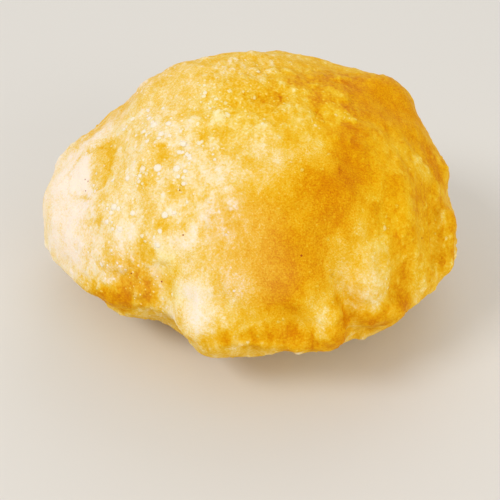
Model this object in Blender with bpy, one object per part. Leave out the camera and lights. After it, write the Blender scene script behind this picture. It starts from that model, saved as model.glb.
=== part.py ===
"""Bhatura: one big fried flatbread, puffed up into a round, lumpy pillow.

The bread is one solid. Its top skin is a high dome and its bottom skin a
shallow belly, and the two meet in a thin seam all round. It lies on a small
flat spot of the belly. The origin is the middle of its bottom, +X is its
right side, +Y its back and +Z up.
"""

import math
import random

import bmesh
import bpy
from mathutils import Vector, noise

MM = 0.001

# The whole bread, at its widest
WIDTH = 270 * MM
DEPTH = 246 * MM
HEIGHT = 152 * MM

# The plain pillow: how high the seam lies, the dome above it, the belly below
SEAM_HEIGHT = 50 * MM
DOME_RISE = 102 * MM
BELLY_DROP = 52 * MM

# How square the side view of each skin is: 1 is a half ellipse, less is squarer
DOME_FULLNESS = 0.93
BELLY_FULLNESS = 0.92

# The crown of the dome lies a little off the middle of the seam
CROWN_LEAN = Vector((8 * MM, 2 * MM, 0))

# The seam stands proud as a soft ridge and wanders up and down
SEAM_RIDGE = 2.4 * MM
SEAM_SPREAD = math.radians(5)
SEAM_WANDER = ((2, 4 * MM), (5, 1.5 * MM))

# The belly is cut level where it rests, and is calm around that spot
REST_CUT = 2 * MM
CALM_HEIGHT = 18 * MM

# Radius of the seam in mm, seen from above, by the angle from +X towards +Y
OUTLINE = (
    (0, 132),
    (30, 134),
    (60, 128),
    (90, 122),
    (120, 121),
    (150, 126),
    (180, 141),
    (205, 136),
    (230, 125),
    (255, 123),
    (280, 128),
    (300, 131),
    (330, 132),
)

# Broad swellings and hollows: centre, width across and rise, all in mm
SWELLINGS = {
    "left lobe": ((-118, -35, 68), 90, 5),
    "top of the left lobe": ((-118, -28, 88), 76, 9),
    "back of the left lobe": ((-114, -2, 98), 44, 5),
    "left shoulder": ((-34, 14, 146), 130, 11),
    "hollow behind the left lobe": ((-88, 4, 118), 60, -6),
    "swelling behind the crown": ((34, 62, 134), 76, 4),
    "back right corner": ((82, 20, 131), 54, 7),
    "dip below the corner": ((118, 26, 104), 80, -8),
    "bump on the right edge": ((120, -19, 96), 34, 7),
    "lower right lobe": ((106, -84, 64), 44, 3),
    "front right cushion": ((66, -103, 80), 46, 3),
    "nose at the front": ((-25, -112, 46), 64, 8),
    "front left valley": ((-55, -98, 38), 70, -11),
    "tuck under the valley": ((-66, -72, 16), 50, -5),
    "tuck under the front": ((22, -112, 27), 50, -4),
    "hollow right of the knob": ((66, -113, 36), 56, -10),
    "tuck right of the knob": ((54, -93, 15), 38, -6),
    "scallop at the lower right": ((88, -99, 42), 24, -5),
    "back left swelling": ((-60, 92, 78), 80, 6),
    "back hollow": ((5, 118, 70), 60, -6),
    "back right swelling": ((62, 98, 72), 70, 6),
    "belly under the left lobe": ((-112, -10, 26), 80, 7),
    "belly hollow": ((60, 70, 16), 70, -4),
    "belly swelling": ((-70, -60, 18), 70, 4),
}

# Ridges and furrows: from, to, width across and rise, all in mm
FOLDS = {
    "knob": ((41, -119, 54), (42, -115, 66), 34, 7),
    "crease right of the knob": ((48, -111, 82), (57, -117, 46), 17, -6),
    "crease left of the knob": ((28, -117, 64), (27, -121, 44), 20, -3),
    "crease left of the nose": ((-44, -97, 78), (-44, -108, 42), 22, -3),
    "roll of the right edge": ((120, -48, 84), (116, -70, 58), 20, 4),
    "furrow inside the roll": ((111, -54, 92), (107, -78, 66), 15, -3),
    "notch above the roll": ((122, -44, 88), (112, -51, 91), 14, -3),
    "dent at the lower right": ((80, -92, 88), (81, -100, 68), 24, -4),
    "ridge on the right side": ((84, -62, 117), (88, -88, 92), 28, 2),
    "furrow on the right side": ((98, -44, 112), (102, -74, 88), 24, -1.2),
    "lip under the right edge": ((60, -118, 42), (84, -104, 44), 12, 2),
    "fold at the back": ((-20, 112, 96), (-34, 120, 62), 22, -4),
    "fold at the back right": ((96, 82, 84), (86, 94, 52), 20, -4),
    "fold at the left": ((-126, 26, 74), (-112, 62, 58), 22, -3),
}

# The largest blisters: centre, width across and rise, all in mm
BLISTERS = {
    "left": ((-94, -35, 106), 30, 2.5),
    "left, lower": ((-101, -52, 84), 18, 1.2),
    "left, upper": ((-74, -30, 123), 16, 1.2),
    "top, front": ((10, -30, 147), 18, 1.6),
    "top, middle": ((0, -12, 149), 14, 1.4),
    "top, right": ((24, -40, 143), 16, 1.4),
    "top, left": ((-28, -38, 142), 18, 1.2),
    "middle left": ((-38, -66, 124), 16, 1.2),
    "front left": ((-60, -88, 74), 14, 1.4),
    "front": ((4, -118, 66), 16, 1.4),
    "right": ((70, -70, 115), 16, 1.2),
    "right, upper": ((66, -34, 135), 18, 1.2),
}

# Smaller blisters strewn over the whole skin
STREWN_COUNT = 70
STREWN_ACROSS = (9 * MM, 17 * MM)
STREWN_RISE = (0.5 * MM, 1.3 * MM)
STREWN_SEED = 11

# Soft unevenness of the whole skin: size of a lump and how far it rises
WAVES = ((55 * MM, 5 * MM), (25 * MM, 2.8 * MM), (13 * MM, 1.2 * MM))

# Squares along each side of the cube that the ball is made from, how much
# they crowd to the seam, and the share of the triangles that is kept, most
# of them where the skin bends
GRID = 60
SEAM_CROWDING = 0.15
KEPT_SHARE = 0.26

BREAD_COLOUR = (0.80, 0.42, 0.07, 1.0)
BREAD_ROUGHNESS = 0.5


def clear_scene():
    """Remove what the scene starts with."""
    for thing in list(bpy.data.objects):
        bpy.data.objects.remove(thing, do_unlink=True)


def ball():
    """A ball of even four-sided faces, blown up from a cube."""
    mesh = bmesh.new()
    bmesh.ops.create_cube(mesh, size=2)
    bmesh.ops.subdivide_edges(mesh, edges=mesh.edges[:], cuts=GRID - 1, use_grid_fill=True)
    for vertex in mesh.verts:
        vertex.co = Vector(math.tan(c * math.pi / 4) for c in vertex.co).normalized()
    return mesh


def seam_radius(angle):
    """Radius of the seam at an angle in degrees, on a smooth closed curve."""
    count = len(OUTLINE)
    last = max(i for i in range(count) if OUTLINE[i][0] <= angle)
    start, here = OUTLINE[last]
    end, there = OUTLINE[(last + 1) % count]
    before = OUTLINE[last - 1][1]
    after = OUTLINE[(last + 2) % count][1]
    t = (angle - start) / ((end - start) % 360)
    ease = t * t * (3 - 2 * t)
    leaving = t * (1 - t) ** 2 * (there - before) / 2
    arriving = t * t * (t - 1) * (after - here) / 2
    return (here + (there - here) * ease + leaving + arriving) * MM


def pillow_point(direction):
    """Where a direction from the middle of the ball meets the plain pillow."""
    angle = math.atan2(direction.y, direction.x)
    outward = Vector((math.cos(angle), math.sin(angle), 0))
    lift = math.asin(max(-1.0, min(1.0, direction.z)))
    lift -= SEAM_CROWDING * math.sin(2 * lift)
    fullness = DOME_FULLNESS if lift > 0 else BELLY_FULLNESS
    rise = DOME_RISE if lift > 0 else -BELLY_DROP
    share = abs(math.sin(lift)) ** fullness
    wander = sum(height * math.sin(waves * angle) for waves, height in SEAM_WANDER)
    ridge = SEAM_RIDGE * math.exp(-((lift / SEAM_SPREAD) ** 2))
    reach = seam_radius(math.degrees(angle) % 360) * math.cos(lift) ** fullness
    point = outward * (reach + ridge)
    point.z = SEAM_HEIGHT + rise * share + wander * (1 - share)
    if lift > 0:
        point += CROWN_LEAN * share
    return point


def bump(distance, across):
    """A smooth round bump: 1 in its middle, 0 from half its width on."""
    t = 2 * distance / across
    return (1 - t * t) ** 2 if t < 1 else 0.0


def blister(distance, across):
    """A low bubble, fuller in the middle and steeper at its rim than a bump."""
    t = 2 * distance / across
    return 1 - t**4 if t < 1 else 0.0


def distance_to_run(point, start, end):
    """Distance from a point to the straight run between two others."""
    along = end - start
    t = (point - start).dot(along) / along.length_squared
    return (point - start - along * max(0.0, min(1.0, t))).length


def all_blisters(skin):
    """Centre, width and rise of every blister, in metres."""
    found = [(Vector(c) * MM, across * MM, rise * MM) for c, across, rise in BLISTERS.values()]
    draw = random.Random(STREWN_SEED)
    for centre in draw.sample(skin, STREWN_COUNT):
        found.append((centre, draw.uniform(*STREWN_ACROSS), draw.uniform(*STREWN_RISE)))
    return found


def relief(point, blisters):
    """How far the skin stands proud of the plain pillow at a point."""
    rise = 0.0
    for centre, across, height in SWELLINGS.values():
        rise += height * MM * bump((point - Vector(centre) * MM).length, across * MM)
    for start, end, across, height in FOLDS.values():
        distance = distance_to_run(point, Vector(start) * MM, Vector(end) * MM)
        rise += height * MM * bump(distance, across * MM)
    for centre, across, height in blisters:
        rise += height * blister((point - centre).length, across)
    for size, height in WAVES:
        rise += height * noise.noise(point / size)
    calm = max(0.0, min(1.0, (point.z + BELLY_DROP - SEAM_HEIGHT) / CALM_HEIGHT))
    return rise * calm


def inflate(mesh):
    """Push the ball out to the pillow, then raise its relief."""
    for vertex in mesh.verts:
        vertex.co = pillow_point(vertex.co)
    mesh.normal_update()
    blisters = all_blisters([vertex.co.copy() for vertex in mesh.verts])
    rises = [relief(vertex.co, blisters) for vertex in mesh.verts]
    for vertex, rise in zip(mesh.verts, rises):
        vertex.co += vertex.normal * rise


def thinned(mesh):
    """The same skin with fewer triangles, as a new mesh."""
    data = bpy.data.meshes.new("dense skin")
    mesh.to_mesh(data)
    mesh.free()
    dense = bpy.data.objects.new("dense skin", data)
    bpy.context.scene.collection.objects.link(dense)
    fewer = dense.modifiers.new("fewer triangles", "DECIMATE")
    fewer.ratio = KEPT_SHARE
    evaluated = dense.evaluated_get(bpy.context.evaluated_depsgraph_get())
    mesh = bmesh.new()
    mesh.from_mesh(evaluated.to_mesh())
    bpy.data.objects.remove(dense, do_unlink=True)
    bpy.data.meshes.remove(data)
    return mesh


def cut_resting_spot(mesh):
    """Cut the lowest part of the belly off level and close the cut."""
    level = min(vertex.co.z for vertex in mesh.verts) + REST_CUT
    everything = mesh.verts[:] + mesh.edges[:] + mesh.faces[:]
    bmesh.ops.bisect_plane(
        mesh, geom=everything, plane_co=(0, 0, level), plane_no=(0, 0, -1), clear_outer=True
    )
    rim = [edge for edge in mesh.edges if edge.is_boundary]
    bmesh.ops.contextual_create(mesh, geom=rim)
    bmesh.ops.recalc_face_normals(mesh, faces=mesh.faces[:])


def fit_to_size(mesh):
    """Scale to the named size and put the origin in the middle of the bottom."""
    low = Vector(min(v.co[i] for v in mesh.verts) for i in range(3))
    high = Vector(max(v.co[i] for v in mesh.verts) for i in range(3))
    middle = Vector(((low.x + high.x) / 2, (low.y + high.y) / 2, low.z))
    scale = Vector((WIDTH, DEPTH, HEIGHT))
    for i in range(3):
        scale[i] /= high[i] - low[i]
    for vertex in mesh.verts:
        vertex.co = (vertex.co - middle) * scale


def bread_material():
    """Fried wheat dough: golden, with a thin film of oil."""
    material = bpy.data.materials.new("fried dough")
    material.use_nodes = True
    shader = material.node_tree.nodes["Principled BSDF"]
    shader.inputs["Base Color"].default_value = BREAD_COLOUR
    shader.inputs["Roughness"].default_value = BREAD_ROUGHNESS
    shader.inputs["Metallic"].default_value = 0.0
    return material


def bhatura():
    """The whole bread as one closed solid."""
    mesh = ball()
    inflate(mesh)
    mesh = thinned(mesh)
    cut_resting_spot(mesh)
    fit_to_size(mesh)
    data = bpy.data.meshes.new("bhatura")
    mesh.to_mesh(data)
    mesh.free()
    data.shade_smooth()
    data.materials.append(bread_material())
    return bpy.data.objects.new("bhatura", data)


def main():
    clear_scene()
    collection = bpy.data.collections.new("Bhatura")
    bpy.context.scene.collection.children.link(collection)
    collection.objects.link(bhatura())


main()
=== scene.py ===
import math

import bmesh
import bpy
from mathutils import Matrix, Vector


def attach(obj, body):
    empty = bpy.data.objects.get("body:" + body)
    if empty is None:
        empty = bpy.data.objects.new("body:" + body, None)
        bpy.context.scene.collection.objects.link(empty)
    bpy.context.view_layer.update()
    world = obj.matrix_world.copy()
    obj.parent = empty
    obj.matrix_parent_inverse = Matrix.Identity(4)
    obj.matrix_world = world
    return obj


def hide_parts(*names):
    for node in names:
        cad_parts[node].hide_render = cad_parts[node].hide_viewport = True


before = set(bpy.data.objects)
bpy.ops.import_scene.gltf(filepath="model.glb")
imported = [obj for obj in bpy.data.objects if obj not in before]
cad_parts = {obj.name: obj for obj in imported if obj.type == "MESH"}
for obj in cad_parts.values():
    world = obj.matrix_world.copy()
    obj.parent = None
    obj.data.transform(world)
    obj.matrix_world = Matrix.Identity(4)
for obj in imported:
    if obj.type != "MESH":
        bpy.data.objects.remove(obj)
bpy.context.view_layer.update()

# The skin of the bread: leavened wheat dough, rolled thin and fried in deep
# oil until steam blows it up. One closed crust with lumps, gathers, a seam and
# blisters, remeshed evenly from the frame's solid and raised by its relief tree.

MM = 0.001
SKIN_GRID = 1.55 * MM
SKIN_ROUNDING = 8

# Where the skin is calm, not blistered: from, to, width across and how calm
CALM_PLACES = {
    "middle of the dome": ((50, -60, 128), (20, -112, 86), 90, 0.85),
    "left lobe": ((-112, -30, 92), (-118, -52, 62), 70, 0.6),
    "back right corner": ((84, 0, 130), (100, 6, 122), 56, 0.8),
    "nose": ((-38, -96, 86), (-31, -112, 56), 34, 0.6),
    "left flank": ((-76, -50, 112), (-60, -66, 112), 50, 0.35),
    "upper left": ((-66, -6, 127), (-38, -10, 140), 56, 0.40),
    "crown, which is livelier": ((4, -14, 147), (44, -30, 141), 76, -0.6),
}

# Where the skin hangs in soft folds, from the crown down
FOLDED_PLACES = {
    "right side": ((84, -52, 110), (98, -74, 78), 84, 0.85),
    "right shoulder": ((52, -24, 138), (66, -50, 124), 50, 0.5),
    "crown": ((-30, 0, 146), (30, 0, 148), 70, 0.6),
    "front": ((-20, -112, 66), (30, -116, 62), 50, 0.4),
    "back": ((-50, 96, 80), (50, 110, 80), 100, 0.8),
}

# Single folds: from, to, width across and rise, in mm
SKIN_FOLDS = {
    "knob": ((34, -119, 73), (37, -122, 57), 27, 2.8),
    "right cheek of the knob": ((46, -117, 62), (47, -119, 53), 15, 2.0),
    "hollow right of the knob": ((51, -104, 80), (57, -110, 46), 24, -1.3),
    "crease right of the knob": ((51, -109, 72), (56, -112, 46), 12, -1.6),
    "hollow left of the knob": ((22, -118, 66), (24, -121, 54), 16, -1.0),
    "nose": ((-33, -106, 70), (-30, -113, 58), 30, 2.4),
    "hollow left of the nose": ((-48, -96, 78), (-45, -105, 50), 15, -2.2),
    "furrow inside the roll": ((108, -55, 89), (108, -73, 66), 9, -3.0),
    "roll of the right edge": ((117, -48, 86), (117, -63, 60), 20, 2.8),
    "dent at the lower right": ((82, -90, 84), (87, -96, 64), 36, -1.2),
    "cushion at the front right": ((66, -95, 84), (68, -103, 70), 26, 1.6),
    "swell over the right lip": ((62, -110, 52), (82, -101, 54), 20, 2.0),
    "lip of the seam, left": ((-14, -122, 49), (12, -123, 47), 8, 1.0),
    "lip of the seam, right": ((24, -122, 45), (40, -122, 43), 8, 0.5),
    "pit above the knob": ((45, -106, 84), (45, -106, 84), 4, -1.6),
    "pit beside the knob": ((49, -106, 78), (49, -106, 78), 4, -1.6),
    "furrow at the back left": ((-40, 100, 78), (-34, 108, 54), 20, -2.2),
    "swell at the back": ((6, 104, 88), (22, 112, 64), 34, 2.4),
    "furrow at the back": ((44, 100, 82), (48, 106, 56), 16, -1.8),
    "hollow at the back right": ((82, 84, 78), (88, 86, 54), 22, -2.0),
    "furrow on the left side": ((-120, 22, 74), (-124, 14, 54), 16, -1.8),
    "swell on the left side": ((-112, 44, 80), (-108, 54, 60), 26, 2.0),
    "furrow on the right side": ((118, 26, 84), (122, 24, 58), 16, -1.8),
    "swell on the right side": ((108, 54, 84), (104, 62, 62), 26, 2.0),
}

# Where steam blew small bubbles in the skin: from, to, width across and how many
BUBBLY_PLACES = {
    "left side": ((-76, -64, 106), (-44, -48, 131), 90, 1.2),
    "front left valley": ((-80, -86, 64), (-56, -95, 60), 50, 1.6),
    "crown": ((-12, -20, 147), (44, -20, 145), 76, 0.6),
    "right side": ((70, -84, 104), (100, -68, 86), 60, 0.35),
    "front": ((-10, -118, 60), (30, -118, 58), 40, 0.3),
    "back": ((-60, 84, 90), (60, 96, 90), 100, 0.5),
}

# Where the gold is rosier (above 0), with dry flour in it, or more lemon (below 0); on the
# left lobe and upper left edge the rosy cream is partly a painted highlight
ROSY_PLACES = {
    # Partly a painted highlight of the light from the left
    "left lobe": ((-108, -24, 100), (-104, -60, 76), 66, 0.35),
    "left of the middle": ((-4, -94, 104), (4, -110, 84), 50, 0.9),
    "front left valley": ((-70, -88, 72), (-58, -93, 70), 36, 0.6),
    "left of the nose": ((-48, -94, 84), (-44, -102, 66), 22, -0.6),
    "front, low": ((0, -116, 66), (44, -114, 66), 40, -0.4),
    # Partly a painted highlight of the light from the left
    "upper left edge": ((-96, 10, 112), (-50, 20, 136), 50, 0.6),
    "crown": ((-8, -30, 142), (44, -34, 139), 64, -0.65),
    "back of the crown": ((24, 4, 146), (60, 8, 140), 46, -0.6),
    "right of the middle": ((62, -56, 121), (76, -80, 104), 44, -0.5),
    "right side": ((80, 0, 130), (102, -60, 88), 130, -0.9),
}

# Where the crust is browner (above 0) or paler (below 0) than its usual gold, with painted
# shade and painted highlight where marked: from, to, width across in mm, and by how much
USUAL_GOLD = 0.50
BROWNING_AND_PAINTED_LIGHT_PLACES = {
    # Paler dough on the left side and left lobe, partly a painted highlight of the light from the left
    "left side": ((-66, -60, 114), (-40, -66, 120), 180, -0.21),
    "left lobe": ((-112, -34, 88), (-118, -50, 60), 80, -0.28),
    "left blister": ((-100, -38, 101), (-99, -36, 103), 24, -0.14),
    "above the left blister": ((-82, -12, 120), (-76, -16, 122), 16, -0.10),
    "front of the left lobe": ((-92, -72, 76), (-84, -84, 64), 30, -0.10),
    "beside the left blister": ((-85, -27, 115), (-87, -44, 108), 21, 0.26),
    "crescent on the left": ((-84, -59, 102), (-86, -69, 94), 9, 0.17),
    "crescent on the left, low": ((-86, -69, 94), (-94, -65, 87), 9, 0.18),
    "left flank, upper": ((-70, -44, 118), (-54, -48, 125), 18, 0.10),
    "left flank, pale": ((-79, -60, 104), (-79, -80, 86), 26, -0.06),
    "pale streak, front left": ((-26, -89, 104), (-45, -94, 88), 14, -0.09),
    "pale spot, front left": ((-33, -91, 99), (-32, -93, 96), 11, -0.10),
    "streak, left": ((-59, -58, 120), (-57, -64, 117), 13, 0.18),
    "streak, left, lower": ((-56, -68, 114), (-54, -84, 102), 13, 0.10),
    "streak, left, upper": ((-49, -49, 128), (-48, -55, 126), 9, 0.18),
    "fleck, upper left": ((-25, -45, 136), (-18, -46, 135), 15, 0.18),
    "fleck, far left": ((-74, -73, 97), (-74, -77, 94), 8, 0.12),
    "fleck, front left": ((-45, -86, 102), (-41, -89, 101), 16, 0.16),
    "fleck, middle left": ((-42, -74, 117), (-36, -75, 118), 13, 0.14),
    "fleck above the valley": ((-57, -88, 91), (-55, -91, 87), 10, 0.11),
    "fleck on the shoulder": ((-25, -77, 119), (-25, -80, 117), 8, 0.16),
    "front left valley": ((-83, -88, 50), (-64, -93, 65), 31, 0.43),
    "front left valley, top": ((-82, -83, 78), (-74, -86, 79), 14, 0.10),
    "under the valley": ((-84, -82, 44), (-56, -96, 50), 28, 0.04),
    # Painted highlight on the nose's bulge
    "nose": ((-32, -106, 69), (-24, -112, 61), 29, -0.33),
    "above the valley": ((-80, -84, 80), (-56, -90, 86), 20, 0.10),
    "right of the nose, low": ((2, -117, 66), (28, -118, 62), 25, 0.17),
    # Painted shade under the nose, along the front above the seam
    "painted shade under the nose": ((4, -121, 50), (50, -119, 49), 20, 0.31),
    "left end of the seam": ((-13, -121, 52), (-8, -122, 52), 14, 0.16),
    # Painted shade under the nose, on its left
    "painted shade under the nose, left": ((-35, -116, 50), (-24, -121, 50), 14, 0.11),
    "fleck right of the nose": ((-18, -117, 60), (-14, -119, 58), 10, 0.08),
    # Painted shade in the crease left of the nose
    "golden edge of the nose": ((-45, -99, 70), (-42, -104, 58), 7, 0.08),
    "right side": ((92, -10, 118), (98, -40, 100), 180, 0.16),
    "right rim, upper": ((110, -18, 106), (112, -26, 100), 20, 0.18),
    "right shoulder": ((74, 0, 134), (92, 6, 128), 76, 0.16),
    "right edge": ((112, -28, 106), (117, -40, 96), 22, 0.12),
    "right edge, inside": ((92, -50, 106), (104, -52, 100), 26, 0.12),
    "right side, middle": ((99, -56, 101), (98, -66, 97), 18, 0.08),
    # Painted light that lifts the shaded side of the furrow inside the right edge
    "painted light inside the right edge": ((94, -47, 109), (95, -62, 103), 9, -0.12),
    "right of the crown": ((38, -16, 142), (35, -24, 141), 18, 0.17),
    "back of the crown, left": ((24, 0, 146), (26, 4, 146), 18, 0.08),
    "below the right of the crown": ((34, -32, 140), (56, -34, 136), 22, 0.11),
    "right of the crown, back": ((48, 12, 142), (58, 4, 140), 22, 0.06),
    "right of the crown, front": ((46, -4, 142), (54, -6, 140), 18, 0.12),
    "right of the crown, low": ((55, -22, 137), (59, -26, 135), 12, 0.11),
    "middle of the dome": ((34, -84, 116), (30, -105, 94), 60, 0.31),
    "middle of the dome, upper": ((54, -44, 132), (56, -62, 124), 30, 0.28),
    "middle of the dome, left": ((0, -86, 112), (3, -99, 100), 46, 0.22),
    "middle of the dome, top": ((34, -74, 123), (42, -76, 122), 20, 0.10),
    "middle of the dome, low": ((11, -114, 79), (25, -114, 76), 25, 0.18),
    "left of the middle": ((-22, -93, 99), (-22, -99, 92), 18, 0.10),
    "crown": ((-8, -18, 146), (6, -18, 145), 28, 0.18),
    "back of the crown": ((32, 8, 145), (54, 16, 140), 40, 0.15),
    "upper left of the dome": ((-11, -54, 134), (0, -64, 130), 24, 0.13),
    "under the shoulder, pale": ((-12, -80, 120), (-8, -84, 117), 13, -0.10),
    "above the middle": ((6, -50, 137), (20, -50, 137), 20, 0.15),
    "below the crown": ((6, -32, 142), (14, -36, 140), 18, 0.14),
    "below the crown, left": ((-12, -32, 141), (-8, -36, 140), 20, 0.09),
    "below the crown, far left": ((-35, -29, 140), (-31, -33, 140), 20, 0.08),
    "crescent on the crown": ((17, -27, 143), (20, -17, 145), 9, 0.07),
    "pale spot, right of the middle": ((46, -93, 103), (48, -96, 100), 8, -0.22),
    "pale spot on the right": ((58, -84, 109), (60, -88, 104), 14, -0.14),
    "right of the middle": ((54, -74, 118), (57, -81, 112), 22, 0.09),
    "right of the middle, upper": ((66, -62, 119), (68, -66, 116), 20, 0.08),
    "right of the corner": ((95, -12, 122), (98, -16, 118), 22, 0.08),
    "below the right shoulder": ((58, -20, 137), (62, -24, 135), 20, 0.07),
    "streak on the right": ((79, -58, 116), (78, -74, 107), 12, 0.08),
    "streak on the right, low": ((68, -78, 109), (66, -88, 101), 12, 0.16),
    "cushion at the front right": ((64, -92, 92), (70, -102, 70), 32, -0.12),
    "cushion, left": ((46, -99, 94), (47, -102, 85), 22, -0.20),
    "cushion, middle": ((60, -101, 80), (63, -102, 73), 20, -0.08),
    "cushion, right": ((79, -91, 86), (90, -86, 79), 14, -0.09),
    "right rim, low": ((108, -76, 62), (118, -60, 58), 16, 0.08),
    # Painted shade at the top of the dent at the lower right and in it
    "above the dent": ((83, -84, 93), (88, -80, 92), 13, 0.10),
    "dent at the lower right": ((84, -90, 80), (87, -96, 62), 28, 0.12),
    # Painted highlight on the knob's bulge, and painted shade in the crease on its right and in the notch
    # below it
    "knob": ((33, -116, 77), (36, -120, 60), 20, -0.17),
    "painted shade in the crease of the knob": ((49, -113, 68), (52, -117, 47), 17, 0.30),
    "right of the knob": ((56, -109, 56), (68, -106, 50), 14, 0.20),
    # Painted shade under the dent and low in it
    "under the dent": ((74, -102, 53), (90, -96, 51), 16, 0.14),
    "dent, low": ((78, -100, 62), (86, -97, 57), 16, 0.14),
    "lip": ((58, -102, 34), (68, -100, 34), 9, -0.14),
    # Painted shade under the right lip
    "below the right lip": ((60, -106, 38), (92, -94, 38), 28, 0.20),
    "lip left of the knob": ((20, -119, 38), (34, -118, 38), 14, 0.20),
    # Darker in the two pits, the wrinkle and the furrow inside the roll, where the skin sinks
    "pit above the knob": ((45, -106, 84), (45, -106, 84), 5, 0.26),
    "pit beside the knob": ((49, -106, 78), (49, -106, 78), 5, 0.26),
    "wrinkle on the dome": ((48, -63, 125), (48, -67, 123), 4, 0.28),
    "furrow on the right": ((108, -56, 88), (108, -72, 67), 6, 0.18),
    "roll of the right edge": ((119, -44, 86), (121, -50, 78), 16, 0.08),
    "back left": ((-56, 84, 88), (-36, 100, 72), 84, 0.16),
    "back right": ((50, 100, 90), (90, 70, 80), 90, -0.16),
    "back, low": ((-20, 118, 50), (60, 108, 48), 60, 0.14),
    "cap of the back": ((-12, 70, 120), (34, 78, 112), 44, 0.20),
    # Paler on the swell at the back, darker in the furrow and hollow beside it
    "swell at the back": ((6, 106, 86), (20, 112, 68), 26, -0.20),
    "furrow at the back left": ((-40, 100, 78), (-34, 108, 56), 12, 0.18),
    "hollow at the back right": ((82, 84, 78), (88, 86, 56), 16, 0.26),
    "fleck at the back": ((42, 92, 100), (46, 94, 96), 11, 0.22),
    "fleck at the back left": ((-74, 62, 106), (-76, 64, 100), 10, 0.22),
    "left side, towards the back": ((-112, 30, 80), (-106, 48, 66), 36, 0.16),
    "right side, towards the back": ((112, 34, 92), (112, 44, 70), 30, 0.18),
    "belly, left": ((-80, 10, 14), (-60, 50, 14), 90, 0.16),
    "belly, right": ((70, -40, 12), (80, 20, 14), 90, -0.12),
    "belly, middle": ((-30, -50, 12), (0, -30, 4), 50, 0.18),
    "belly, back": ((-10, 84, 26), (30, 76, 22), 56, 0.15),
    "belly, front": ((30, -80, 22), (50, -70, 18), 34, -0.14),
    "fleck on the belly": ((34, 30, 2), (44, 38, 2), 20, 0.20),
}

# Blisters with a fine browned rim: centre and width across, in mm
RINGED_BLISTERS = {
    "left": ((-94, -36, 105), 33),
    "top": ((13, -20, 144), 10),
    "back left": ((-60, 78, 108), 26),
    "back right": ((78, 74, 100), 17),
}


def linear(colour):
    """The linear values of an sRGB hex colour, with full alpha."""
    values = []
    for i in (1, 3, 5):
        share = int(colour[i:i + 2], 16) / 255
        values.append(share / 12.92 if share <= 0.04045 else ((share + 0.055) / 1.055) ** 2.4)
    return (*values, 1.0)


def add(tree, kind, inputs=(), **settings):
    """Add a node with its settings, and with values, sockets or nodes on its inputs."""
    made = tree.nodes.new(kind)
    for name, value in settings.items():
        setattr(made, name, value)
    for key, value in inputs.items() if isinstance(inputs, dict) else enumerate(inputs):
        if isinstance(value, bpy.types.Node):
            value = value.outputs[0]
        if isinstance(value, bpy.types.NodeSocket):
            tree.links.new(value, made.inputs[key])
        else:
            made.inputs[key].default_value = value
    return made


def new_tree(name, sizes):
    """A Geometry Nodes tree with a mesh in and out, and a named input for each size."""
    tree = bpy.data.node_groups.new(name, "GeometryNodeTree")
    tree.interface.new_socket("Mesh", in_out="INPUT", socket_type="NodeSocketGeometry")
    tree.interface.new_socket("Mesh", in_out="OUTPUT", socket_type="NodeSocketGeometry")
    for size in sizes:
        tree.interface.new_socket(size, in_out="INPUT", socket_type="NodeSocketFloat")
    return tree, add(tree, "NodeGroupInput").outputs


def grow(piece, tree, sizes):
    """Run a tree on a piece and keep the result as its plain mesh."""
    modifier = piece.modifiers.new(tree.name, "NODES")
    modifier.node_group = tree
    for item in tree.interface.items_tree:
        if item.in_out == "INPUT" and item.name in sizes:
            modifier[item.identifier] = sizes[item.name]
    evaluated = piece.evaluated_get(bpy.context.evaluated_depsgraph_get())
    mesh = bpy.data.meshes.new_from_object(evaluated)
    piece.modifiers.clear()
    piece.data = mesh
    mesh.name = piece.name


def away_from(tree, position, start, end):
    """The distance from a position to the straight run between two points in mm."""
    start = Vector(start) * MM
    along = Vector(end) * MM - start
    nearest = start
    if along.length > 0:
        offset = add(tree, "ShaderNodeVectorMath", (position, start), operation="SUBTRACT")
        unit = along / along.length_squared
        share = add(tree, "ShaderNodeVectorMath", (offset, unit), operation="DOT_PRODUCT")
        share = add(tree, "ShaderNodeClamp", [share.outputs["Value"]])
        step = add(tree, "ShaderNodeVectorMath", {0: along, "Scale": share}, operation="SCALE")
        nearest = add(tree, "ShaderNodeVectorMath", (start, step), operation="ADD")
    return add(tree, "ShaderNodeVectorMath", (position, nearest), operation="DISTANCE").outputs["Value"]


# A patch is full near its run and gone further out, in shares of its width
PATCH_FULL = 0.1
PATCH_GONE = 0.6


def sum_of_places(tree, position, places):
    """The sum of soft patches, each with its own run, width and strength."""
    total = 0.0
    for start, end, across, strength in places.values():
        apart = away_from(tree, position, start, end)
        patch = add(
            tree,
            "ShaderNodeMapRange",
            (apart, across * MM * PATCH_GONE, across * MM * PATCH_FULL, 0.0, strength),
            interpolation_type="SMOOTHSTEP",
        )
        total = add(tree, "ShaderNodeMath", (total, patch), operation="ADD")
    return total


def unevenness(tree, position, size, detail=2.0):
    """Soft unevenness about 0, with lumps of the given size."""
    scale = add(tree, "ShaderNodeMath", (1.0, size), operation="DIVIDE")
    texture = add(tree, "ShaderNodeTexNoise", {"Vector": position, "Scale": scale, "Detail": detail})
    return add(tree, "ShaderNodeMath", (texture, 0.5), operation="SUBTRACT")


# A round spot draws its own radius from 0.5 to 1.1 of the one asked for, is full
# out to 0.3 of that, and fades out within 0.16 of the border of its cell
SPOT_LEAST = 0.5
SPOT_SPREAD = 0.6
SPOT_CORE = 0.3
CELL_BORDER = 0.16


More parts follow.
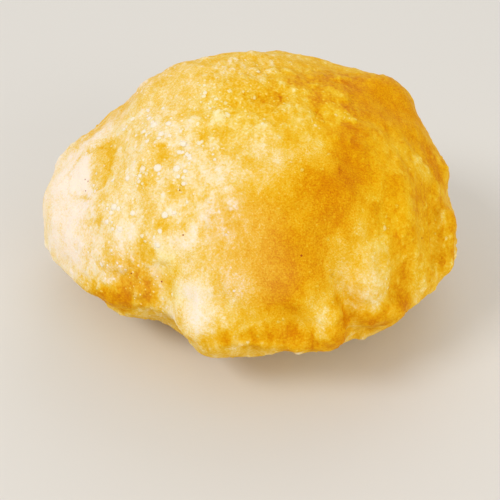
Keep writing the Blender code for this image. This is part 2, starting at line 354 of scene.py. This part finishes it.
def round_spots(tree, position, spacing, radius, share):
    """Round spots, 1 in their middle: radius in spacings, share of the cells that have one."""
    scale = add(tree, "ShaderNodeMath", (1.0, spacing), operation="DIVIDE")
    at = {"Vector": position, "Scale": scale, "Randomness": 1.0}
    cells = add(tree, "ShaderNodeTexVoronoi", at)
    border = add(tree, "ShaderNodeTexVoronoi", at, feature="DISTANCE_TO_EDGE")
    inside = add(
        tree,
        "ShaderNodeMapRange",
        (border.outputs["Distance"], 0.0, CELL_BORDER, 0.0, 1.0),
        interpolation_type="SMOOTHSTEP",
    )
    draw = add(tree, "ShaderNodeSeparateXYZ", [cells.outputs["Color"]]).outputs
    least, spread = radius * SPOT_LEAST, radius * SPOT_SPREAD
    own_radius = add(tree, "ShaderNodeMath", (draw[1], spread, least), operation="MULTIPLY_ADD")
    core = add(tree, "ShaderNodeMath", (own_radius, SPOT_CORE), operation="MULTIPLY")
    spot = add(
        tree,
        "ShaderNodeMapRange",
        (cells.outputs["Distance"], own_radius, core, 0.0, 1.0),
        interpolation_type="SMOOTHSTEP",
    )
    kept = add(tree, "ShaderNodeMath", (draw[0], share), operation="LESS_THAN")
    spot = add(tree, "ShaderNodeMath", (spot, inside), operation="MULTIPLY")
    return add(tree, "ShaderNodeMath", (spot, kept), operation="MULTIPLY")


RELIEF_SIZES = {
    "Wander": 10 * MM,
    "Wander size": 9 * MM,
    "Lump size": 17 * MM,
    "Lump height": 1.8 * MM,
    "Ripple size": 6.5 * MM,
    "Ripple height": 1.7 * MM,
    "Fold size": 10 * MM,
    "Fold height": 2.8 * MM,
    "Seam height": 50 * MM,
    "Seam sway": 4 * MM,
    "Seam waver": 1.5 * MM,
    "Seam stray": 14 * MM,
    "Seam stray size": 34 * MM,
    "Seam width": 2.6 * MM,
    "Seam ridge": 0.9 * MM,
    "Seam break size": 16 * MM,
    "Gathers in a turn": 14.0,
    "Gather length": 30 * MM,
    "Gather depth": 1.4 * MM,
    "Gathered within": 4 * MM,
    "Smooth beyond": 58 * MM,
    "Ring depth": 0.5 * MM,
    "Ring width": 2.2 * MM,
    "Ring waver size": 9 * MM,
    "Ring break size": 8 * MM,
    "Blister spacing": 24 * MM,
    "Blister height": 1.0 * MM,
    "Bubble spacing": 11 * MM,
    "Bubble height": 1.2 * MM,
    "Pimple spacing": 6 * MM,
    "Pimple height": 0.8 * MM,
    "Raised above": 14 * MM,
}

relief, size_of = new_tree("fried skin relief", RELIEF_SIZES)
place = add(relief, "GeometryNodeInputPosition")
fineness = add(relief, "ShaderNodeMath", (1.0, size_of["Wander size"]), operation="DIVIDE")
wobble = add(relief, "ShaderNodeTexNoise", {"Vector": place, "Scale": fineness, "Detail": 2.0})
wobble = wobble.outputs["Color"]
wobble = add(relief, "ShaderNodeVectorMath", (wobble, (0.5, 0.5, 0.5)), operation="SUBTRACT")
wobble = add(relief, "ShaderNodeVectorMath", {0: wobble, "Scale": size_of["Wander"]}, operation="SCALE")
warped = add(relief, "ShaderNodeVectorMath", (place, wobble), operation="ADD")
# The dough stretched more from the crown down than across, and its patterns with it
stretched = add(relief, "ShaderNodeVectorMath", (warped, (1.0, 0.7, 0.7)), operation="MULTIPLY")
pulled_down = add(relief, "ShaderNodeVectorMath", (place, (1.0, 0.4, 0.4)), operation="MULTIPLY")
calm = add(relief, "ShaderNodeMath", (sum_of_places(relief, warped, CALM_PLACES), 1.0), operation="MINIMUM")
lively = add(relief, "ShaderNodeMath", (1.0, calm), operation="SUBTRACT")

lumps = unevenness(relief, place, size_of["Lump size"])
lumps = add(relief, "ShaderNodeMath", (lumps, size_of["Lump height"]), operation="MULTIPLY")
ripples = unevenness(relief, stretched, size_of["Ripple size"])
ripples = add(relief, "ShaderNodeMath", (ripples, size_of["Ripple height"]), operation="MULTIPLY")
# Calm skin keeps about a third of the ripples' height
rippled = add(relief, "ShaderNodeMath", (lively, 0.65, 0.35), operation="MULTIPLY_ADD")
ripples = add(relief, "ShaderNodeMath", (ripples, rippled), operation="MULTIPLY")
fold = unevenness(relief, pulled_down, size_of["Fold size"], 1.0)
folded = sum_of_places(relief, warped, FOLDED_PLACES)
fold = add(relief, "ShaderNodeMath", (fold, folded), operation="MULTIPLY")
soft_folds = add(relief, "ShaderNodeMath", (fold, size_of["Fold height"]), operation="MULTIPLY")

axis = add(relief, "ShaderNodeSeparateXYZ", [place]).outputs
turn = add(relief, "ShaderNodeMath", (axis["Y"], axis["X"]), operation="ARCTAN2")
seam_level = size_of["Seam height"]
for waves_in_a_turn, size in ((2.0, "Seam sway"), (5.0, "Seam waver")):
    wave = add(relief, "ShaderNodeMath", (turn, waves_in_a_turn), operation="MULTIPLY")
    wave = add(relief, "ShaderNodeMath", [wave], operation="SINE")
    seam_level = add(relief, "ShaderNodeMath", (wave, size_of[size], seam_level), operation="MULTIPLY_ADD")
astray = unevenness(relief, place, size_of["Seam stray size"])
seam_level = add(
    relief, "ShaderNodeMath", (astray, size_of["Seam stray"], seam_level), operation="MULTIPLY_ADD"
)
from_seam = add(relief, "ShaderNodeMath", (axis["Z"], seam_level), operation="SUBTRACT")
from_seam = add(relief, "ShaderNodeMath", [from_seam], operation="ABSOLUTE")
near_seam = add(
    relief,
    "ShaderNodeMapRange",
    (from_seam, size_of["Smooth beyond"], size_of["Gathered within"], 0.0, 1.0),
    interpolation_type="SMOOTHSTEP",
)
around = add(relief, "ShaderNodeMath", (turn, size_of["Gathers in a turn"]), operation="MULTIPLY")
level = add(relief, "ShaderNodeMath", (axis["Z"], size_of["Gather length"]), operation="DIVIDE")
round_the_bread = add(relief, "ShaderNodeCombineXYZ", (around, level))
gather = unevenness(relief, round_the_bread, 1.0, 1.0)
gather = add(relief, "ShaderNodeMath", (gather, near_seam), operation="MULTIPLY")
gathers = add(relief, "ShaderNodeMath", (gather, size_of["Gather depth"]), operation="MULTIPLY")

seam_line = add(
    relief,
    "ShaderNodeMapRange",
    (from_seam, size_of["Seam width"], 0.0, 0.0, 1.0),
    interpolation_type="SMOOTHSTEP",
)
# The seam's ridge shows in stretches, with none between them
broken = unevenness(relief, place, size_of["Seam break size"])
broken = add(
    relief, "ShaderNodeMapRange", (broken, -0.12, 0.2, 0.0, 1.0), interpolation_type="SMOOTHSTEP"
)
seam_line = add(relief, "ShaderNodeMath", (seam_line, broken), operation="MULTIPLY")
seam_ridge = add(relief, "ShaderNodeMath", (seam_line, size_of["Seam ridge"]), operation="MULTIPLY")

single_folds = sum_of_places(relief, place, SKIN_FOLDS)
single_folds = add(relief, "ShaderNodeMath", (single_folds, MM), operation="MULTIPLY")

rings = 0.0
crooked = unevenness(relief, place, size_of["Ring waver size"])
for centre, across in RINGED_BLISTERS.values():
    radius = across * MM / 2
    from_rim = away_from(relief, place, centre, centre)
    from_rim = add(relief, "ShaderNodeMath", (crooked, radius, from_rim), operation="MULTIPLY_ADD")
    from_rim = add(relief, "ShaderNodeMath", (from_rim, radius), operation="SUBTRACT")
    from_rim = add(relief, "ShaderNodeMath", [from_rim], operation="ABSOLUTE")
    rim = add(
        relief,
        "ShaderNodeMapRange",
        (from_rim, size_of["Ring width"], 0.0, 0.0, 1.0),
        interpolation_type="SMOOTHSTEP",
    )
    rings = add(relief, "ShaderNodeMath", (rings, rim), operation="ADD")
# A rim is fainter in places, by a little under half
partly = unevenness(relief, place, size_of["Ring break size"])
partly = add(
    relief, "ShaderNodeMapRange", (partly, -0.15, 0.15, 0.55, 1.0), interpolation_type="SMOOTHSTEP"
)
rings = add(relief, "ShaderNodeMath", (rings, partly), operation="MULTIPLY")
grooves = add(relief, "ShaderNodeMath", (rings, size_of["Ring depth"]), operation="MULTIPLY")
grooves = add(relief, "ShaderNodeMath", (0.0, grooves), operation="SUBTRACT")

bubbly = add(relief, "ShaderNodeMath", (sum_of_places(relief, warped, BUBBLY_PLACES), 0.1), operation="ADD")

# Round swellings in three sizes: radius in spacings, and share of the cells with one
bubbles = 0.0
for spacing, height, radius, share in (
    ("Blister spacing", "Blister height", 0.55, 0.34),
    ("Bubble spacing", "Bubble height", 0.5, 0.42),
    ("Pimple spacing", "Pimple height", 0.5, 0.48),
):
    spots = round_spots(relief, stretched, size_of[spacing], radius, share)
    bubbles = add(relief, "ShaderNodeMath", (spots, size_of[height], bubbles), operation="MULTIPLY_ADD")
bubbles = add(relief, "ShaderNodeMath", (bubbles, lively), operation="MULTIPLY")

# The relief fades out towards the floor, so that the bread rests as its solid does
rise = 0.0
for part in (lumps, ripples, soft_folds, gathers, single_folds, seam_ridge, grooves, bubbles):
    rise = add(relief, "ShaderNodeMath", (rise, part), operation="ADD")
off_the_floor = add(
    relief,
    "ShaderNodeMapRange",
    (axis["Z"], 0.0, size_of["Raised above"], 0.0, 1.0),
    interpolation_type="SMOOTHSTEP",
)
rise = add(relief, "ShaderNodeMath", (rise, off_the_floor), operation="MULTIPLY")
normal = add(relief, "GeometryNodeInputNormal")
outwards = add(relief, "ShaderNodeVectorMath", {0: normal, "Scale": rise}, operation="SCALE")

rosy = sum_of_places(relief, warped, ROSY_PLACES)
browning_and_painted_light = sum_of_places(relief, warped, BROWNING_AND_PAINTED_LIGHT_PLACES)
browning_and_painted_light = add(relief, "ShaderNodeMath", (browning_and_painted_light, USUAL_GOLD), operation="ADD")
# Rims are browner, and what stands out is paler: gathers, folds, seam and blisters
for part, share in (
    (rings, 0.24),
    (gather, -0.45),
    (fold, -0.12),
    (seam_line, -0.20),
    (bubbles, -0.15 / MM),
):
    browning_and_painted_light = add(relief, "ShaderNodeMath", (part, share, browning_and_painted_light), operation="MULTIPLY_ADD")
stored = size_of["Mesh"]
for name, value in (("browning_and_painted_light", browning_and_painted_light), ("rosy", rosy), ("lively", lively), ("bubbly", bubbly)):
    stored = add(
        relief,
        "GeometryNodeStoreNamedAttribute",
        {"Geometry": stored, "Name": name, "Value": value},
        data_type="FLOAT",
    )
raised = add(relief, "GeometryNodeSetPosition", {"Geometry": stored, "Offset": outwards})

# Fried wheat dough: a thin crust, matt with a film of oil, from cream where it
# blew up thin to orange-brown where it lay longest in the oil. Roughness 0.5
# and an index of 1.46 are the oil's; its patterns are of blisters and flour.
DOUGH_COLOURS = (
    (0.00, "#FAEBD4"),
    (0.20, "#F6E0AC"),
    (0.40, "#EFC964"),
    (0.55, "#EBB92E"),
    (0.70, "#E5A80C"),
    (0.85, "#DA9102"),
    (1.00, "#D07D01"),
    (1.25, "#A95A04"),
)
RAMP_END = 1.25

# The crust's patterns: their size, and how much browner (above 0) or paler (below
# 0) they make it. Flour grains are 0.1 to 0.2 mm; they are drawn coarser, as
# flecks, flour and grain, so that they show.
PATTERN_SIZES = {
    "clouds": 15 * MM,
    "patches": 6 * MM,
    "pale rounds": 4.4 * MM,
    "mottle": 4 * MM,
    "pinheads": 3.0 * MM,
    "flour": 1.5 * MM,
    "flecks": 1.4 * MM,
    "bumps": 1.3 * MM,
    "grain": 0.8 * MM,
}
PATTERN_STRENGTHS = {
    "clouds": 0.20,
    "patches": 0.11,
    "mottle": 0.38,
    "flecks": 0.46,
    "pale rounds": -0.14,
    "pinheads": -0.22,
}
FLOUR_STRENGTH = -0.09
BUMP_HEIGHT = 0.35 * MM
OILED_CRUST = {
    "IOR": 1.46,
    "Specular IOR Level": 0.04,
    "Subsurface Weight": 0.10,
    "Subsurface Radius": (1.0, 0.5, 0.2),
    "Subsurface Scale": 3 * MM,
}

dough = bpy.data.materials.new("fried wheat dough")
dough.use_nodes = True
crust = dough.node_tree
shader = crust.nodes["Principled BSDF"]
position = add(crust, "ShaderNodeTexCoord").outputs["Object"]
lively = add(crust, "ShaderNodeAttribute", attribute_name="lively").outputs["Fac"]
shade = add(crust, "ShaderNodeAttribute", attribute_name="browning_and_painted_light").outputs["Fac"]
stretched = add(crust, "ShaderNodeMapping", {"Vector": position, "Scale": (1.0, 0.6, 0.6)})
mottle = unevenness(crust, stretched, PATTERN_SIZES["mottle"])
patches = unevenness(crust, stretched, PATTERN_SIZES["patches"], 3.0)
# A narrow step in the noise gives the patches clear edges
patches = add(
    crust, "ShaderNodeMapRange", (patches, -0.07, 0.07, -0.5, 0.5), interpolation_type="SMOOTHSTEP"
)
bubbly = add(crust, "ShaderNodeAttribute", attribute_name="bubbly").outputs["Fac"]
pinheads = round_spots(crust, position, PATTERN_SIZES["pinheads"], 0.40, 0.5)
patterns = {
    "clouds": unevenness(crust, stretched, PATTERN_SIZES["clouds"], 1.0),
    "patches": patches,
    "mottle": mottle,
    "flecks": unevenness(crust, position, PATTERN_SIZES["flecks"], 1.0),
    "pale rounds": round_spots(crust, stretched, PATTERN_SIZES["pale rounds"], 0.46, 0.3),
    "pinheads": add(crust, "ShaderNodeMath", (pinheads, bubbly), operation="MULTIPLY"),
}
mottling = 0.0
for name, strength in PATTERN_STRENGTHS.items():
    part = patterns[name]
    mottling = add(crust, "ShaderNodeMath", (part, strength, mottling), operation="MULTIPLY_ADD")
# Calm skin keeps 0.4 of the mottling, and shows more grain than lively skin
mottled = add(crust, "ShaderNodeMath", (lively, 0.6, 0.4), operation="MULTIPLY_ADD")
shade = add(crust, "ShaderNodeMath", (mottling, mottled, shade), operation="MULTIPLY_ADD")
grain_strength = add(crust, "ShaderNodeMath", (lively, -0.42, 0.68), operation="MULTIPLY_ADD")
grain = unevenness(crust, position, PATTERN_SIZES["grain"], 1.0)
shade = add(crust, "ShaderNodeMath", (grain, grain_strength, shade), operation="MULTIPLY_ADD")
flour = round_spots(crust, position, PATTERN_SIZES["flour"], 0.5, 0.35)
shade = add(crust, "ShaderNodeMath", (flour, FLOUR_STRENGTH, shade), operation="MULTIPLY_ADD")
along_ramp = add(crust, "ShaderNodeMath", (shade, RAMP_END), operation="DIVIDE")
ramp = add(crust, "ShaderNodeValToRGB", [along_ramp])
stops = ramp.color_ramp.elements
while len(stops) < len(DOUGH_COLOURS):
    stops.new(0.5)
for stop, (at, colour) in zip(stops, DOUGH_COLOURS):
    stop.position = at / RAMP_END
    stop.color = linear(colour)

# Rosy skin has more blue in its gold, and a dust of flour, which on the left also stands for a painted
# highlight; no gold is bluer than cream
rosy = add(crust, "ShaderNodeAttribute", attribute_name="rosy").outputs["Fac"]
bluer = add(crust, "ShaderNodeMath", (rosy, 0.45, 1.0), operation="MULTIPLY_ADD")
flour_and_highlight = add(crust, "ShaderNodeMath", (rosy, 0.02), operation="MULTIPLY")
flour_and_highlight = add(crust, "ShaderNodeMath", (flour_and_highlight, 0.0), operation="MAXIMUM")
baked = add(crust, "ShaderNodeSeparateXYZ", [ramp.outputs["Color"]]).outputs
blue = add(crust, "ShaderNodeMath", (baked["Z"], bluer, flour_and_highlight), operation="MULTIPLY_ADD")
cream = add(crust, "ShaderNodeMath", (baked["Y"], 0.82), operation="MULTIPLY")
blue = add(crust, "ShaderNodeMath", (blue, cream), operation="MINIMUM")
colour = add(crust, "ShaderNodeCombineXYZ", (baked["X"], baked["Y"], blue))
crust.links.new(colour.outputs[0], shader.inputs["Base Color"])

roughened = unevenness(crust, position, PATTERN_SIZES["bumps"], 3.0)
bumps = add(crust, "ShaderNodeBump", {"Height": roughened, "Distance": BUMP_HEIGHT, "Strength": 0.9})
crust.links.new(bumps.outputs["Normal"], shader.inputs["Normal"])
oiliness = add(crust, "ShaderNodeMath", (mottle, 0.25, 0.5), operation="MULTIPLY_ADD")
crust.links.new(oiliness.outputs[0], shader.inputs["Roughness"])
for name, value in OILED_CRUST.items():
    shader.inputs[name].default_value = value

finished = add(relief, "GeometryNodeRealizeInstances", [raised])
finished = add(relief, "GeometryNodeSetMaterial", {"Geometry": finished, "Material": dough})
add(relief, "NodeGroupOutput", [finished])

merged = bmesh.new()
merged.from_mesh(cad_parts["bhatura"].data)
bmesh.ops.remove_doubles(merged, verts=merged.verts, dist=0.01 * MM)
skin_mesh = bpy.data.meshes.new("bhatura_skin")
merged.to_mesh(skin_mesh)
merged.free()
skin = bpy.data.objects.new("bhatura_skin", skin_mesh)
bpy.context.scene.collection.objects.link(skin)
rounding = skin.modifiers.new("rounding", "SUBSURF")
rounding.levels = 2
rounding.render_levels = 2
even = skin.modifiers.new("even grid", "REMESH")
even.mode = "VOXEL"
even.voxel_size = SKIN_GRID
even.use_smooth_shade = True
smoothing = skin.modifiers.new("smoothing", "SMOOTH")
smoothing.iterations = SKIN_ROUNDING
grow(skin, relief, RELIEF_SIZES)
skin.data.shade_smooth()
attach(skin, "root")
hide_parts("bhatura")

# Blown bubbles: where steam lifted a pinhead of the thinnest dough, it dried
# pale. They are low domes of the same dough, in clusters, sunk a little in it.

BUBBLE_SIZES = {
    "Smallest radius": 0.5 * MM,
    "Largest radius": 1.7 * MM,
    "Flatness": 0.32,
    "Least gap": 1.7 * MM,
    "Per square metre": 70000.0,
    "Cluster size": 16 * MM,
    "Paleness": 0.65,
}

# The ones large enough to pick out: centre and width across, in mm
LARGE_BUBBLES = (
    ((-60, -57, 120), 4.8),
    ((-51, -59, 122), 5.4),
    ((-40, -63, 124), 4.8),
    ((-50, -41, 133), 4.0),
    ((-46, -35, 136), 3.8),
    ((-55, -32, 134), 5.0),
    ((-61, -33, 130), 3.8),
    ((-58, -42, 129), 3.4),
    ((-37, -50, 132), 3.8),
    ((-69, -57, 114), 3.8),
    ((-56, -29, 134), 3.2),
    ((-45, -43, 133), 3.0),
    ((-51, -44, 131), 3.2),
    ((-39, -54, 129), 3.6),
    ((-33, -59, 128), 3.0),
    ((-65, -74, 102), 3.8),
    ((-72, -78, 94), 3.6),
    ((-76, -67, 101), 4.4),
    ((-46, -83, 107), 4.2),
    ((-49, -88, 100), 3.6),
    ((-69, -18, 130), 3.4),
    ((28, -70, 128), 2.6),
    ((39, -68, 127), 2.4),
    ((43, -58, 129), 2.4),
    ((47, -60, 127), 2.4),
    ((7, -41, 139), 2.6),
    ((8, -37, 140), 2.2),
    ((41, -34, 138), 3.2),
    ((56, -25, 136), 3.0),
)

# How deep a grain is sunk in the skin, as a share of its height, how long it is
# drawn out, as a share of its width, the facets of its ball, and the least
# browning that it takes over from the skin
SUNK = 0.35
DRAWN_OUT = (0.75, 1.3)
FACETS = {"Segments": 9, "Rings": 5}
LEAST_BROWNING = -0.4


def strewn_tree(name, material, seed, single):
    """A tree that strews low round grains of one material on a skin, some at given places."""
    sizes = ("Smallest radius", "Largest radius", "Flatness", "Least gap", "Per square metre")
    tree, size_of = new_tree(name, (*sizes, "Cluster size", "Paleness"))
    skin_in = size_of["Mesh"]
    place = add(tree, "GeometryNodeInputPosition")
    # Grains lie in clusters, closest together in the middle of one
    clusters = unevenness(tree, place, size_of["Cluster size"], 1.0)
    clusters = add(
        tree, "ShaderNodeMapRange", (clusters, -0.05, 0.2, 0.0, 1.0), interpolation_type="SMOOTHSTEP"
    )
    bubbly = add(tree, "GeometryNodeInputNamedAttribute", {"Name": "bubbly"}, data_type="FLOAT")
    strewn = add(
        tree,
        "GeometryNodeDistributePointsOnFaces",
        {
            "Mesh": skin_in,
            "Distance Min": size_of["Least gap"],
            "Density Max": size_of["Per square metre"],
            "Density Factor": add(tree, "ShaderNodeMath", (clusters, bubbly), operation="MULTIPLY"),
            "Seed": seed,
        },
        distribute_method="POISSON",
    )
    draw = add(tree, "FunctionNodeRandomValue", {"Seed": seed}).outputs[1]
    draw = add(tree, "ShaderNodeMath", (draw, 2.0), operation="POWER")
    smallest, largest = size_of["Smallest radius"], size_of["Largest radius"]
    span = add(tree, "ShaderNodeMath", (largest, smallest), operation="SUBTRACT")
    radius = add(tree, "ShaderNodeMath", (draw, span, smallest), operation="MULTIPLY_ADD")
    strewn = add(tree, "GeometryNodeSetPointRadius", {0: strewn, "Radius": radius})
    points = add(tree, "GeometryNodeJoinGeometry")
    tree.links.new(strewn.outputs[0], points.inputs[0])
    for centre, across in single:
        at = {"Position": Vector(centre) * MM, "Radius": across * MM / 2, "Count": 1}
        point = add(tree, "GeometryNodePoints", at)
        tree.links.new(point.outputs[0], points.inputs[0])
    upwards = add(tree, "GeometryNodeInputNormal")
    upwards = add(
        tree,
        "GeometryNodeSampleNearestSurface",
        {"Mesh": skin_in, "Value": upwards},
        data_type="FLOAT_VECTOR",
    )
    on_skin = add(tree, "GeometryNodeProximity", {0: skin_in}, target_element="FACES").outputs["Position"]
    own_radius = add(tree, "GeometryNodeInputRadius")
    height = add(tree, "ShaderNodeMath", (own_radius, size_of["Flatness"]), operation="MULTIPLY")
    depth = add(tree, "ShaderNodeMath", (height, -SUNK), operation="MULTIPLY")
    sunk = add(tree, "ShaderNodeVectorMath", {0: upwards, "Scale": depth}, operation="SCALE")
    set_down = add(tree, "GeometryNodeSetPosition", {0: points, "Position": on_skin, "Offset": sunk})
    # A large grain is riper, and so paler, than a small one
    ripeness = add(tree, "ShaderNodeMath", (own_radius, largest), operation="DIVIDE")
    ripeness = add(tree, "ShaderNodeMath", (ripeness, 0.5, 0.5), operation="MULTIPLY_ADD")
    coloured = add(
        tree,
        "GeometryNodeStoreNamedAttribute",
        {0: set_down, "Name": "ripeness", "Value": ripeness},
        data_type="FLOAT",
    )
    for attribute in ("browning_and_painted_light", "rosy", "lively"):
        value = add(tree, "GeometryNodeInputNamedAttribute", {"Name": attribute}, data_type="FLOAT")
        value = add(
            tree, "GeometryNodeSampleNearestSurface", {"Mesh": skin_in, "Value": value}, data_type="FLOAT"
        )
        value = add(tree, "ShaderNodeMath", (value, LEAST_BROWNING), operation="MAXIMUM")
        coloured = add(
            tree,
            "GeometryNodeStoreNamedAttribute",
            {0: coloured, "Name": attribute, "Value": value},
            data_type="FLOAT",
        )
    upright = add(tree, "FunctionNodeAlignRotationToVector", {"Vector": upwards}, axis="Z")
    turned = add(tree, "FunctionNodeRandomValue", {2: 0.0, 3: math.pi, "Seed": seed + 1}).outputs[1]
    turned = add(tree, "ShaderNodeCombineXYZ", (0.0, 0.0, turned))
    upright = add(tree, "FunctionNodeRotateRotation", (upright, turned), rotation_space="LOCAL")
    shortest, longest = DRAWN_OUT
    drawn_out = add(tree, "FunctionNodeRandomValue", {2: shortest, 3: longest, "Seed": seed + 2}).outputs[1]
    length = add(tree, "ShaderNodeMath", (own_radius, drawn_out), operation="MULTIPLY")
    shape = add(tree, "ShaderNodeCombineXYZ", (length, own_radius, height))
    ball = add(tree, "GeometryNodeMeshUVSphere", FACETS)
    ball = add(tree, "GeometryNodeSetShadeSmooth", [ball])
    crown = add(tree, "ShaderNodeSeparateXYZ", [place]).outputs["Z"]
    crown = add(tree, "ShaderNodeMapRange", (crown, 0.0, 1.0, 0.0, 1.0), interpolation_type="SMOOTHSTEP")
    ball = add(
        tree, "GeometryNodeStoreNamedAttribute", {0: ball, "Name": "crown", "Value": crown}, data_type="FLOAT"
    )
    grains = add(
        tree,
        "GeometryNodeInstanceOnPoints",
        {"Points": coloured, "Instance": ball, "Rotation": upright, "Scale": shape},
    )
    grains = add(tree, "GeometryNodeRealizeInstances", [grains])
    crown = add(tree, "GeometryNodeInputNamedAttribute", {"Name": "crown"}, data_type="FLOAT")
    ripeness = add(tree, "GeometryNodeInputNamedAttribute", {"Name": "ripeness"}, data_type="FLOAT")
    paler = add(tree, "ShaderNodeMath", (crown, size_of["Paleness"]), operation="MULTIPLY")
    paler = add(tree, "ShaderNodeMath", (paler, ripeness), operation="MULTIPLY")
    skin_browning_and_light = add(tree, "GeometryNodeInputNamedAttribute", {"Name": "browning_and_painted_light"}, data_type="FLOAT")
    unbaked = add(tree, "ShaderNodeMath", (1.0, skin_browning_and_light), operation="SUBTRACT")
    paler = add(tree, "ShaderNodeMath", (paler, unbaked), operation="MULTIPLY")
    paler = add(tree, "ShaderNodeMath", (skin_browning_and_light, paler), operation="SUBTRACT")
    grains = add(
        tree,
        "GeometryNodeStoreNamedAttribute",
        {0: grains, "Name": "browning_and_painted_light", "Value": paler},
        data_type="FLOAT",
    )
    grains = add(tree, "GeometryNodeSetMaterial", {"Geometry": grains, "Material": material})
    add(tree, "NodeGroupOutput", [grains])
    return tree


def strew(name, material, seed, sizes, single):
    """A new piece of grains strewn on the skin."""
    grains = bpy.data.objects.new(name, skin.data.copy())
    bpy.context.scene.collection.objects.link(grains)
    grow(grains, strewn_tree(name, material, seed, single), sizes)
    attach(grains, "root")


strew("blown_bubbles", dough, 3, BUBBLE_SIZES, LARGE_BUBBLES)

# Burnt specks: grains of flour that charred in the oil, dark brown and dry,
# about a millimetre across. They are strewn thinly and lie flat on the crust.

SPECK_SIZES = {
    "Smallest radius": 0.3 * MM,
    "Largest radius": 0.55 * MM,
    "Flatness": 0.35,
    "Least gap": 12 * MM,
    "Per square metre": 900.0,
    "Cluster size": 30 * MM,
    "Paleness": 0.0,
}

# The ones that can be told apart: centre and width across, in mm
LARGE_SPECKS = (
    ((27, -104, 96), 1.3),
    ((-36, -90, 99), 1.0),
    ((-49, -97, 71), 1.0),
    ((-38, -75, 118), 0.9),
    ((98, -72, 83), 1.1),
    ((-97, -40, 102), 1.0),
    ((-95, -42, 102), 0.9),
    ((-96, -46, 98), 0.9),
)
SOOT_SIZE = 0.6 * MM
CHARRED_COLOURS = ("#8E2C06", "#BE5A14")

charred = bpy.data.materials.new("charred flour")
charred.use_nodes = True
char = charred.node_tree
soot = unevenness(char, add(char, "ShaderNodeTexCoord").outputs["Object"], SOOT_SIZE)
tint = add(char, "ShaderNodeValToRGB", [add(char, "ShaderNodeMath", (soot, 0.5), operation="ADD")])
for stop, colour in zip(tint.color_ramp.elements, CHARRED_COLOURS):
    stop.color = linear(colour)
dry = char.nodes["Principled BSDF"]
char.links.new(tint.outputs["Color"], dry.inputs["Base Color"])
dry.inputs["Roughness"].default_value = 0.7
dry.inputs["Specular IOR Level"].default_value = 0.08
strew("burnt_specks", charred, 8, SPECK_SIZES, LARGE_SPECKS)

# The floor: a plain pale board under the bread, which isn't part of it.
# It is matt paint, and only catches the soft shadow.

FLOOR_ACROSS = 40.0

board = bmesh.new()
bmesh.ops.create_grid(board, x_segments=1, y_segments=1, size=FLOOR_ACROSS / 2)
floor_mesh = bpy.data.meshes.new("floor")
board.to_mesh(floor_mesh)
board.free()
floor = bpy.data.objects.new("floor", floor_mesh)
bpy.context.scene.collection.objects.link(floor)
paint = bpy.data.materials.new("matt white paint")
paint.use_nodes = True
matt = paint.node_tree.nodes["Principled BSDF"]
matt.inputs["Base Color"].default_value = linear("#DEDBD6")
matt.inputs["Roughness"].default_value = 0.85
floor.data.materials.append(paint)

# The light: a large soft lamp high on the left, a second one low at the front
# right, a weak one behind, and a pale room all round.

# Each lamp's place and width across in metres, and its watts
LAMPS = {
    "key": (Vector((-1.50, -0.74, 1.70)), 0.85, 19.8),
    "fill": (Vector((1.42, -1.60, 0.66)), 1.4, 15.4),
    "back": (Vector((0.50, 1.60, 1.50)), 1.6, 8.6),
}
AIM = Vector((0, 0, 0.06))

for name, (at, across, watts) in LAMPS.items():
    lamp = bpy.data.lights.new(name, "AREA")
    lamp.energy = watts
    lamp.size = across
    holder = bpy.data.objects.new(name, lamp)
    holder.location = at
    holder.rotation_euler = (AIM - at).to_track_quat("-Z", "Y").to_euler()
    bpy.context.scene.collection.objects.link(holder)

room = bpy.data.worlds.new("pale room")
room.use_nodes = True
pale = room.node_tree.nodes["Background"]
pale.inputs["Color"].default_value = linear("#F4F1EC")
pale.inputs["Strength"].default_value = 0.70
bpy.context.scene.world = room
bpy.context.scene.view_settings.view_transform = "Standard"

# The camera: in front of the bread and above it, looking 38 degrees down, with
# the lens that gives a square frame about 36 degrees.

EYE = Vector((0, -0.421, 0.350))
PITCH = math.radians(38.3)
LENS_MM = 55.4
SENSOR_MM = 36

camera = bpy.data.cameras.new("camera")
camera.lens = LENS_MM
camera.sensor_width = SENSOR_MM
camera.clip_start = 0.01
view = bpy.data.objects.new("camera", camera)
view.location = EYE
view.rotation_euler = (math.pi / 2 - PITCH, 0, 0)
bpy.context.scene.collection.objects.link(view)
bpy.context.scene.camera = view
